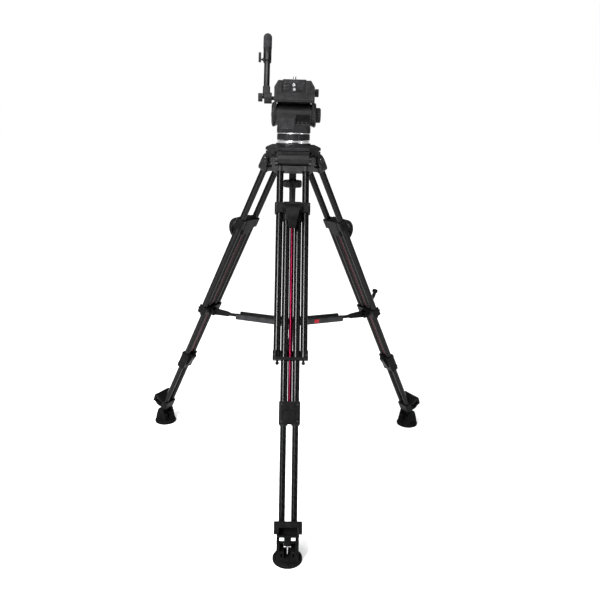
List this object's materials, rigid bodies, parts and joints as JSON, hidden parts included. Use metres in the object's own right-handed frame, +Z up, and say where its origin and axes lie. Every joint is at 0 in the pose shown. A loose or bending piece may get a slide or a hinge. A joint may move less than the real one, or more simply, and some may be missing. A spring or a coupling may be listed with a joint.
{
  "type": "tripod with fluid head",
  "caption": "Two-stage carbon tripod on rubber feet, with a mid-level spreader, half-ball bowl and a fluid pan and tilt head with a telescopic pan bar.",
  "frame": {"origin": "on the floor, at the middle of the footprint's bounding box; the bowl's vertical axis stands 0.1408 m behind it at +Y", "axes": "+Z up; one leg points along -Y and the pan bar leans back along +Y; +X to the right as seen from the front leg"},
  "size_m": [1.0836, 0.9524, 1.4672],
  "materials": {
    "black_casting": "satin black paint",
    "carbon_fibre": "clear coated twill carbon",
    "red_anodised": "satin anodised crimson",
    "bright_aluminium": "machined",
    "black_plastic": "fine moulded grain",
    "rubber": "matt",
    "grip_rubber": "matt grey",
    "steel": "ground",
    "red_plastic": "moulded",
    "dark_anodised": "black anodised"
  },
  "bodies": {
    "crown": {"crown": "black_casting", "hinge_pins": "dark_anodised"},
    "leg_front": {"top_casting_front": "black_casting", "outer_tubes_front": "carbon_fibre", "lower_bracket_front": "black_casting"},
    "stage_two_front": {"carriage_front": "black_casting", "mid_tubes_front": "carbon_fibre", "lock_block_front": "black_casting"},
    "stage_three_front": {"lower_tubes_front": "carbon_fibre", "ankle_front": "black_casting"},
    "shoe_front": {"shoe_front": "rubber"},
    "lock_lever_front": {"lock_lever_front": "black_plastic"},
    "pull_rod_front": {"pull_rod_front": "red_anodised"},
    "spreader_rail_front": {"spreader_rail_front": "dark_anodised"},
    "spreader_strut_front": {"spreader_strut_front": "black_casting"},
    "leg_right": {"top_casting_right": "black_casting", "outer_tubes_right": "carbon_fibre", "lower_bracket_right": "black_casting"},
    "stage_two_right": {"carriage_right": "black_casting", "mid_tubes_right": "carbon_fibre", "lock_block_right": "black_casting"},
    "stage_three_right": {"lower_tubes_right": "carbon_fibre", "ankle_right": "black_casting"},
    "shoe_right": {"shoe_right": "rubber"},
    "lock_lever_right": {"lock_lever_right": "black_plastic"},
    "pull_rod_right": {"pull_rod_right": "red_anodised"},
    "spreader_rail_right": {"spreader_rail_right": "dark_anodised"},
    "spreader_strut_right": {"spreader_strut_right": "black_casting"},
    "leg_left": {"top_casting_left": "black_casting", "outer_tubes_left": "carbon_fibre", "lower_bracket_left": "black_casting"},
    "stage_two_left": {"carriage_left": "black_casting", "mid_tubes_left": "carbon_fibre", "lock_block_left": "black_casting"},
    "stage_three_left": {"lower_tubes_left": "carbon_fibre", "ankle_left": "black_casting"},
    "shoe_left": {"shoe_left": "rubber"},
    "lock_lever_left": {"lock_lever_left": "black_plastic"},
    "pull_rod_left": {"pull_rod_left": "red_anodised"},
    "spreader_rail_left": {"spreader_rail_left": "dark_anodised"},
    "spreader_strut_left": {"spreader_strut_left": "black_casting"},
    "spreader_hub": {"spreader_hub": "black_plastic"},
    "release_button": {"release_button": "red_plastic"},
    "side_lever": {"side_lever": "black_plastic"},
    "bowl_ball": {"half_ball": "bright_aluminium"},
    "tie_down": {"tie_down_knob": "black_plastic"},
    "pan_head": {"pan_base": "black_casting", "tilt_housing": "black_casting"},
    "drag_ring": {"drag_ring": "black_plastic"},
    "tilt_head": {"platform": "black_casting", "side_covers": "black_plastic"},
    "slide_plate": {"slide_plate": "dark_anodised", "camera_screws": "steel"},
    "plate_knob": {"plate_knob": "black_plastic"},
    "balance_knob": {"balance_knob": "black_plastic"},
    "pan_bar": {"bar_clamp": "black_casting", "bar_tube": "dark_anodised"},
    "bar_knob": {"bar_knob": "black_plastic"},
    "bar_grip": {"bar_grip": "grip_rubber"},
    "wing_screw": {"wing_screw": "black_plastic"}
  },
  "joints": [
    {"name": "leg_fold_front", "type": "hinge", "parent": "crown", "child": "leg_front", "pos_m": [0, 0.07283, 1.0735], "axis": [-1, 0, 0], "range_deg": [-23, 0]},
    {"name": "leg_fold_right", "type": "hinge", "parent": "crown", "child": "leg_right", "pos_m": [0.05889, 0.17483, 1.0735], "axis": [0.5, -0.866, 0], "range_deg": [-23, 0]},
    {"name": "leg_fold_left", "type": "hinge", "parent": "crown", "child": "leg_left", "pos_m": [-0.05889, 0.17483, 1.0735], "axis": [0.5, 0.866, 0], "range_deg": [-23, 0]},
    {"name": "stage_two_slide_front", "type": "slide", "parent": "leg_front", "child": "stage_two_front", "axis": [0, -0.4459, -0.8951], "range_m": [-0.1, 0.395]},
    {"name": "stage_three_slide_front", "type": "slide", "parent": "stage_two_front", "child": "stage_three_front", "axis": [0, -0.4459, -0.8951], "range_m": [-0.255, 0.13]},
    {"name": "shoe_pivot_front", "type": "hinge", "parent": "stage_three_front", "child": "shoe_front", "pos_m": [0, -0.43417, 0.05573], "axis": [-1, 0, 0], "range_deg": [-30, 30]},
    {"name": "lock_lever_turn_front", "type": "hinge", "parent": "stage_two_front", "child": "lock_lever_front", "pos_m": [0, -0.0191, 0.94054], "axis": [-1, 0, 0], "range_deg": [0, 70]},
    {"name": "pull_rod_slide_front", "type": "slide", "parent": "stage_two_front", "child": "pull_rod_front", "axis": [0, 0.4459, 0.8951], "range_m": [0, 0.0045]},
    {"name": "stage_two_slide_right", "type": "slide", "parent": "leg_right", "child": "stage_two_right", "axis": [0.3861, 0.2229, -0.8951], "range_m": [-0.186, 0.31]},
    {"name": "stage_three_slide_right", "type": "slide", "parent": "stage_two_right", "child": "stage_three_right", "axis": [0.3861, 0.2229, -0.8951], "range_m": [-0.17, 0.21]},
    {"name": "shoe_pivot_right", "type": "hinge", "parent": "stage_three_right", "child": "shoe_right", "pos_m": [0.49796, 0.42833, 0.05573], "axis": [0.5, -0.866, 0], "range_deg": [-30, 30]},
    {"name": "lock_lever_turn_right", "type": "hinge", "parent": "stage_two_right", "child": "lock_lever_right", "pos_m": [0.17171, 0.23997, 0.86356], "axis": [0.5, -0.866, 0], "range_deg": [0, 70]},
    {"name": "pull_rod_slide_right", "type": "slide", "parent": "stage_two_right", "child": "pull_rod_right", "axis": [-0.3861, -0.2229, 0.8951], "range_m": [0, 0.0045]},
    {"name": "stage_two_slide_left", "type": "slide", "parent": "leg_left", "child": "stage_two_left", "axis": [-0.3861, 0.2229, -0.8951], "range_m": [-0.186, 0.31]},
    {"name": "stage_three_slide_left", "type": "slide", "parent": "stage_two_left", "child": "stage_three_left", "axis": [-0.3861, 0.2229, -0.8951], "range_m": [-0.17, 0.21]},
    {"name": "shoe_pivot_left", "type": "hinge", "parent": "stage_three_left", "child": "shoe_left", "pos_m": [-0.49796, 0.42833, 0.05573], "axis": [0.5, 0.866, 0], "range_deg": [-30, 30]},
    {"name": "lock_lever_turn_left", "type": "hinge", "parent": "stage_two_left", "child": "lock_lever_left", "pos_m": [-0.17171, 0.23997, 0.86356], "axis": [0.5, 0.866, 0], "range_deg": [0, 70]},
    {"name": "pull_rod_slide_left", "type": "slide", "parent": "stage_two_left", "child": "pull_rod_left", "axis": [0.3861, -0.2229, 0.8951], "range_m": [0, 0.0045]},
    {"name": "spreader_hub_lift", "type": "slide", "parent": "crown", "child": "spreader_hub", "axis": [0, 0, 1], "range_m": [0, 0.178]},
    {"name": "spreader_rail_turn_front", "type": "hinge", "parent": "spreader_hub", "child": "spreader_rail_front", "pos_m": [0, 0.11683, 0.51968], "axis": [1, 0, 0], "range_deg": [0, 75.5]},
    {"name": "spreader_strut_turn_front", "type": "hinge", "parent": "leg_front", "child": "spreader_strut_front", "pos_m": [0, -0.17721, 0.50427], "axis": [1, 0, 0], "range_deg": [0, 52.5]},
    {"name": "spreader_rail_turn_right", "type": "hinge", "parent": "spreader_hub", "child": "spreader_rail_right", "pos_m": [0.02079, 0.15283, 0.51968], "axis": [-0.5, 0.866, 0], "range_deg": [0, 75.5]},
    {"name": "spreader_strut_turn_right", "type": "hinge", "parent": "leg_right", "child": "spreader_strut_right", "pos_m": [0.27543, 0.29985, 0.50427], "axis": [-0.5, 0.866, 0], "range_deg": [0, 52.5]},
    {"name": "spreader_rail_turn_left", "type": "hinge", "parent": "spreader_hub", "child": "spreader_rail_left", "pos_m": [-0.02079, 0.15283, 0.51968], "axis": [-0.5, -0.866, 0], "range_deg": [0, 75.5]},
    {"name": "spreader_strut_turn_left", "type": "hinge", "parent": "leg_left", "child": "spreader_strut_left", "pos_m": [-0.27543, 0.29985, 0.50427], "axis": [-0.5, -0.866, 0], "range_deg": [0, 52.5]},
    {"name": "release_button_press", "type": "slide", "parent": "spreader_rail_right", "child": "release_button", "axis": [-0.5, 0.866, 0], "range_m": [0, 0.0022], "stiffness_N_per_m": 400},
    {"name": "side_lever_turn", "type": "hinge", "parent": "leg_right", "child": "side_lever", "pos_m": [0.29253, 0.35707, 0.52925], "axis": [0.7752, 0.4475, 0.4459], "range_deg": [0, 60]},
    {"name": "bowl_level", "type": "hinge", "parent": "crown", "child": "bowl_ball", "pos_m": [0, 0.14083, 1.1245], "axis": [1, 0, 0], "range_deg": [-7, 7]},
    {"name": "tie_down_turn", "type": "hinge", "parent": "bowl_ball", "child": "tie_down", "pos_m": [0, 0.14083, 0.98], "axis": [0, 0, 1], "continuous": true},
    {"name": "pan", "type": "hinge", "parent": "bowl_ball", "child": "pan_head", "pos_m": [0, 0.14083, 1.1245], "axis": [0, 0, 1], "continuous": true},
    {"name": "drag_ring_turn", "type": "hinge", "parent": "pan_head", "child": "drag_ring", "pos_m": [0, 0.14083, 1.14], "axis": [0, 0, 1], "range_deg": [0, 120]},
    {"name": "tilt", "type": "hinge", "parent": "pan_head", "child": "tilt_head", "pos_m": [0, 0.14083, 1.212], "axis": [1, 0, 0], "range_deg": [-70, 50]},
    {"name": "plate_slide", "type": "slide", "parent": "tilt_head", "child": "slide_plate", "axis": [0, 1, 0], "range_m": [-0.035, 0.035]},
    {"name": "plate_knob_turn", "type": "hinge", "parent": "tilt_head", "child": "plate_knob", "pos_m": [0.07, 0.12083, 1.2785], "axis": [1, 0, 0], "continuous": true},
    {"name": "balance_knob_turn", "type": "hinge", "parent": "tilt_head", "child": "balance_knob", "pos_m": [0.078, 0.14083, 1.212], "axis": [1, 0, 0], "range_deg": [0, 270]},
    {"name": "pan_bar_angle", "type": "hinge", "parent": "tilt_head", "child": "pan_bar", "pos_m": [-0.0885, 0.14083, 1.261], "axis": [1, 0, 0], "range_deg": [-45, 60]},
    {"name": "bar_knob_turn", "type": "hinge", "parent": "pan_bar", "child": "bar_knob", "pos_m": [-0.107, 0.14183, 1.26273], "axis": [1, 0, 0], "continuous": true},
    {"name": "bar_extend", "type": "slide", "parent": "pan_bar", "child": "bar_grip", "axis": [0, 0.5, 0.866], "range_m": [0, 0.105]},
    {"name": "wing_screw_turn", "type": "hinge", "parent": "pan_bar", "child": "wing_screw", "pos_m": [-0.1125, 0.21083, 1.38224], "axis": [1, 0, 0], "continuous": true}
  ],
  "couplings": [
    {"joint": "leg_fold_right", "follows": "leg_fold_front", "ratio": 1},
    {"joint": "leg_fold_left", "follows": "leg_fold_front", "ratio": 1},
    {"joint": "pull_rod_slide_front", "follows": "lock_lever_turn_front", "m_per_rad": 0.003274},
    {"joint": "pull_rod_slide_right", "follows": "lock_lever_turn_right", "m_per_rad": 0.003274},
    {"joint": "pull_rod_slide_left", "follows": "lock_lever_turn_left", "m_per_rad": 0.003274},
    {"joint": "spreader_hub_lift", "follows": "leg_fold_front", "m_per_rad": -0.44093},
    {"joint": "spreader_rail_turn_front", "follows": "leg_fold_front", "ratio": -3.2609},
    {"joint": "spreader_strut_turn_front", "follows": "leg_fold_front", "ratio": -2.2609},
    {"joint": "spreader_rail_turn_right", "follows": "leg_fold_front", "ratio": -3.2609},
    {"joint": "spreader_strut_turn_right", "follows": "leg_fold_front", "ratio": -2.2609},
    {"joint": "spreader_rail_turn_left", "follows": "leg_fold_front", "ratio": -3.2609},
    {"joint": "spreader_strut_turn_left", "follows": "leg_fold_front", "ratio": -2.2609}
  ]
}
